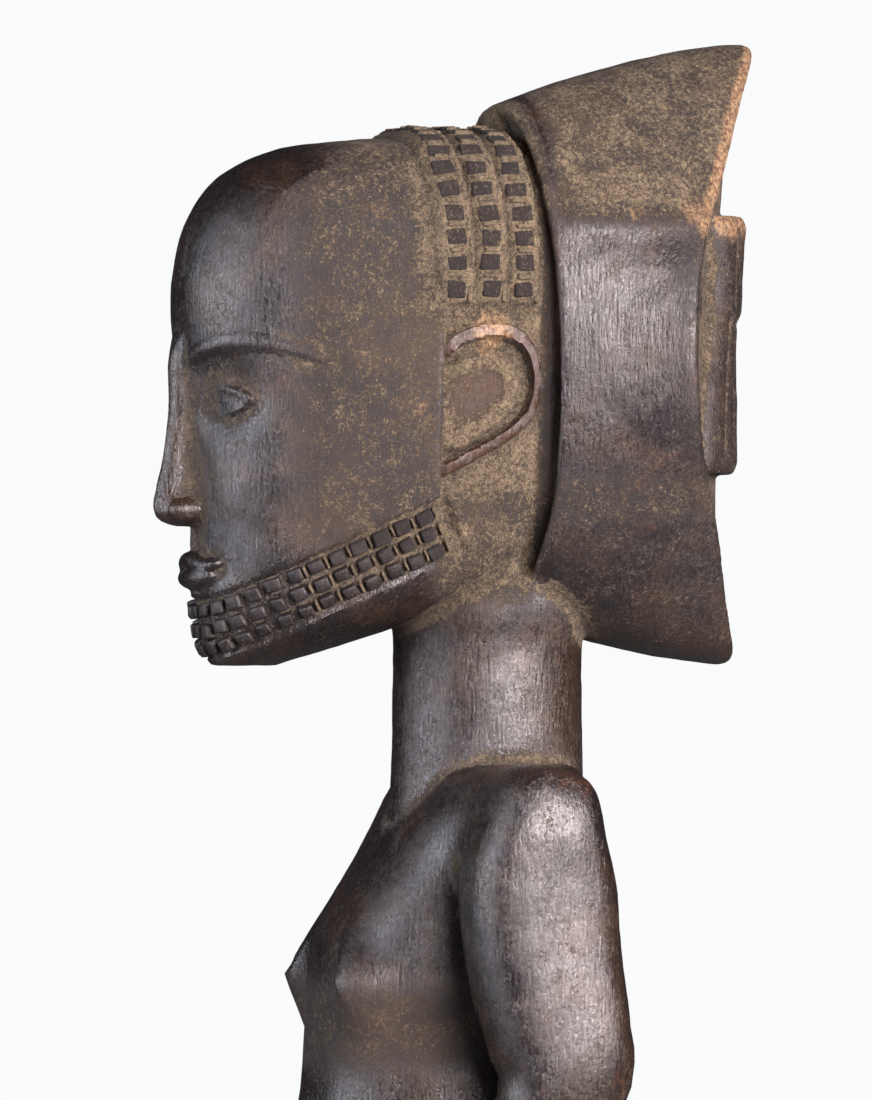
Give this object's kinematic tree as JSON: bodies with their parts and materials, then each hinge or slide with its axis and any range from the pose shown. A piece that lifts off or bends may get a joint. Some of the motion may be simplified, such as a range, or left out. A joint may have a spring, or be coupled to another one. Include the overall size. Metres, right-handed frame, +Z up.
{
  "type": "ancestor figure",
  "caption": "Carved dark wooden standing ancestor figure with a large banded head, flared hair and a block beard, hands on its belly, on a round base.",
  "frame": {"origin": "middle of the round base's flat underside", "axes": "+Z up through the figure, -Y the way it faces, +X towards its left hand"},
  "size_m": [0.1604, 0.186, 0.6394],
  "materials": {
    "dark_wood": "handled, oiled dark wood with a soft sheen, dust in the carved grooves and lighter worn edges"
  },
  "bodies": {
    "root": {"ancestor_figure": "dark_wood"}
  },
  "joints": []
}
